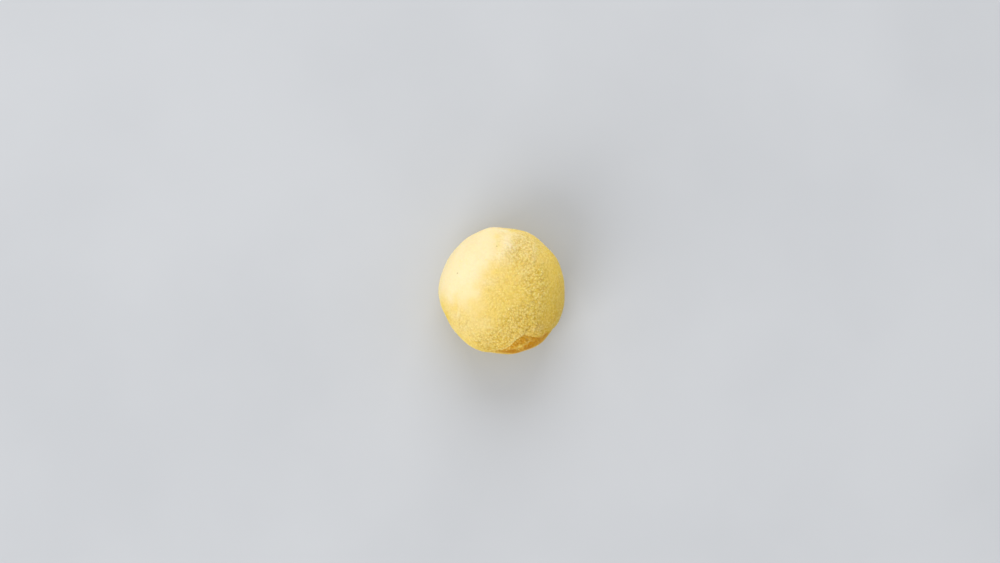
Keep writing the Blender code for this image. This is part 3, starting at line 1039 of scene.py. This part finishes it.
def dough_material(powder):
    """Translucent mango dough under a speckled dusting of starch: deeper in colour where it is bare and, as
    partly painted shade, in the warm patches, paler on the pebbles' tops, with painted shade in the gaps,
    the creases, the pleats and the shade patches, and with specks of fruit."""
    material, tree, shader, place = new_material("mango_dough")
    top, gap = attribute_value(tree, "top"), attribute_value(tree, "gap")
    dusting = group_node(tree, powder)
    tree.links.new(place, dusting.inputs["Vector"])
    tree.links.new(attribute_value(tree, "dust"), dusting.inputs["Thickness"])
    tree.links.new(math_node(tree, "ADD", top, gap), dusting.inputs["Grain"])
    mask, height = dusting.outputs["Mask"], dusting.outputs["Height"]
    dough = mix_colour(tree, attribute_value(tree, "bare"), DOUGH_COLOUR, BARE_DOUGH_COLOUR)
    dough = mix_colour(tree, top, dough, GRAIN_COLOUR)
    colour = mix_colour(tree, mask, dough, STARCH_COLOUR)
    # Painted shade in the gaps, the creases, the pleats and the shade patches
    darker = math_node(tree, "ADD", gap, attribute_value(tree, "painted_shade"), clamp=True)
    shade = mix_colour(tree, darker, WHITE, GAP_SHADE)
    colour = mix_colour(tree, 1.0, colour, shade, "MULTIPLY")
    colour = mix_colour(tree, attribute_value(tree, "speck"), colour, SPECK_COLOUR)
    tree.links.new(colour, shader.inputs["Base Color"])
    roughness = math_node(tree, "MULTIPLY_ADD", mask, DOUGH_ROUGHNESS_ADDED, DOUGH_ROUGHNESS)
    tree.links.new(roughness, shader.inputs["Roughness"])
    tree.links.new(bump(tree, height, POWDER_HEIGHT), shader.inputs["Normal"])
    shader.inputs["Subsurface Weight"].default_value = 0.2
    shader.inputs["Subsurface Radius"].default_value = (1.0, 0.6, 0.2)
    shader.inputs["Subsurface Scale"].default_value = 0.8 * MM
    shader.inputs["Specular IOR Level"].default_value = 0.04
    shader.inputs["Sheen Weight"].default_value = 0.05
    shader.inputs["Sheen Roughness"].default_value = 0.4
    shader.inputs["Sheen Tint"].default_value = (1.0, 0.82, 0.3, 1.0)
    return material


def crumb_material(powder):
    """Starch that has taken up a little of the dough's colour."""
    material, tree, shader, place = new_material("starch")
    dusting = group_node(tree, powder)
    tree.links.new(place, dusting.inputs["Vector"])
    dusting.inputs["Thickness"].default_value = CRUMB_POWDER_THICKNESS
    mask, height = dusting.outputs["Mask"], dusting.outputs["Height"]
    colour = mix_colour(tree, mask, GRAIN_COLOUR, STARCH_COLOUR)
    tree.links.new(colour, shader.inputs["Base Color"])
    roughness = math_node(tree, "MULTIPLY_ADD", mask, CRUMB_ROUGHNESS_ADDED, CRUMB_ROUGHNESS)
    tree.links.new(roughness, shader.inputs["Roughness"])
    tree.links.new(bump(tree, height, CRUMB_POWDER_HEIGHT), shader.inputs["Normal"])
    shader.inputs["Specular IOR Level"].default_value = 0.04
    return material


def floor_material():
    """Pale blue-grey tabletop, with a faint cloudiness."""
    material, tree, shader, place = new_material("pale_tabletop")
    clouds = noise_node(tree, place, FLOOR_CLOUDS_PER_METRE, detail=4.0)
    share = ramp_node(tree, clouds, *FLOOR_CLOUD_RANGE)
    colour = mix_colour(tree, share, FLOOR_COLOUR, FLOOR_COLOUR_PALE)
    tree.links.new(colour, shader.inputs["Base Color"])
    roughness = math_node(tree, "MULTIPLY_ADD", clouds, FLOOR_ROUGHNESS_ADDED, FLOOR_ROUGHNESS)
    tree.links.new(roughness, shader.inputs["Roughness"])
    return material


def make_floor():
    """A plain level floor, just clear of the foot."""
    corners = np.array([(-1, -1, 0), (1, -1, 0), (1, 1, 0), (-1, 1, 0)]) * FLOOR_HALF
    return mesh_object("floor", corners - (0, 0, FLOOR_GAP), [(0, 1, 2, 3)], floor_material())


def add_light(name, azimuth, elevation, power):
    """A square area light that looks at the mochi from this azimuth and elevation."""
    light = bpy.data.lights.new(name, "AREA")
    light.size = LIGHT_SIZE
    light.energy = power
    light.color = LIGHT_COLOUR
    lamp = bpy.data.objects.new(name, light)
    tilt = math.radians(elevation)
    aim = math.radians(azimuth)
    lamp.location = (
        LIGHT_DISTANCE * math.cos(tilt) * math.cos(aim),
        LIGHT_DISTANCE * math.cos(tilt) * math.sin(aim),
        LIGHT_DISTANCE * math.sin(tilt),
    )
    lamp.rotation_euler = (math.pi / 2 - tilt, 0, aim + math.pi / 2)
    bpy.context.scene.collection.objects.link(lamp)


def set_world():
    """An even pale fill from all round."""
    world = bpy.data.worlds.new("fill")
    world.use_nodes = True
    background = world.node_tree.nodes["Background"]
    background.inputs["Color"].default_value = FILL_COLOUR
    background.inputs["Strength"].default_value = FILL_STRENGTH
    bpy.context.scene.world = world


def add_camera():
    """A camera that looks straight down, the mochi at its place in the photo's frame."""
    camera = bpy.data.cameras.new("camera")
    camera.lens = LENS
    camera.sensor_width = SENSOR
    holder = bpy.data.objects.new("camera", camera)
    distance = IMAGE_WIDTH * PIXEL_SIZE * LENS / SENSOR
    holder.location = (
        (IMAGE_WIDTH / 2 - OUTLINE_MIDDLE_PIXEL[0]) * PIXEL_SIZE,
        (OUTLINE_MIDDLE_PIXEL[1] - IMAGE_HEIGHT / 2) * PIXEL_SIZE,
        BELLY_HEIGHT + distance,
    )
    bpy.context.scene.collection.objects.link(holder)
    bpy.context.scene.camera = holder


powder = powder_group()
skin, skin_points, skin_finish = make_skin(dough_material(powder))
crumbs = make_crumbs(skin_points, skin_finish, crumb_material(powder))
for piece in (skin, crumbs):
    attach(piece, "root")
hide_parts("mochi")
make_floor()
set_world()
for name, azimuth, elevation, power in LIGHTS:
    add_light(name, azimuth, elevation, power)
add_camera()
bpy.context.scene.view_settings.view_transform = "Standard"
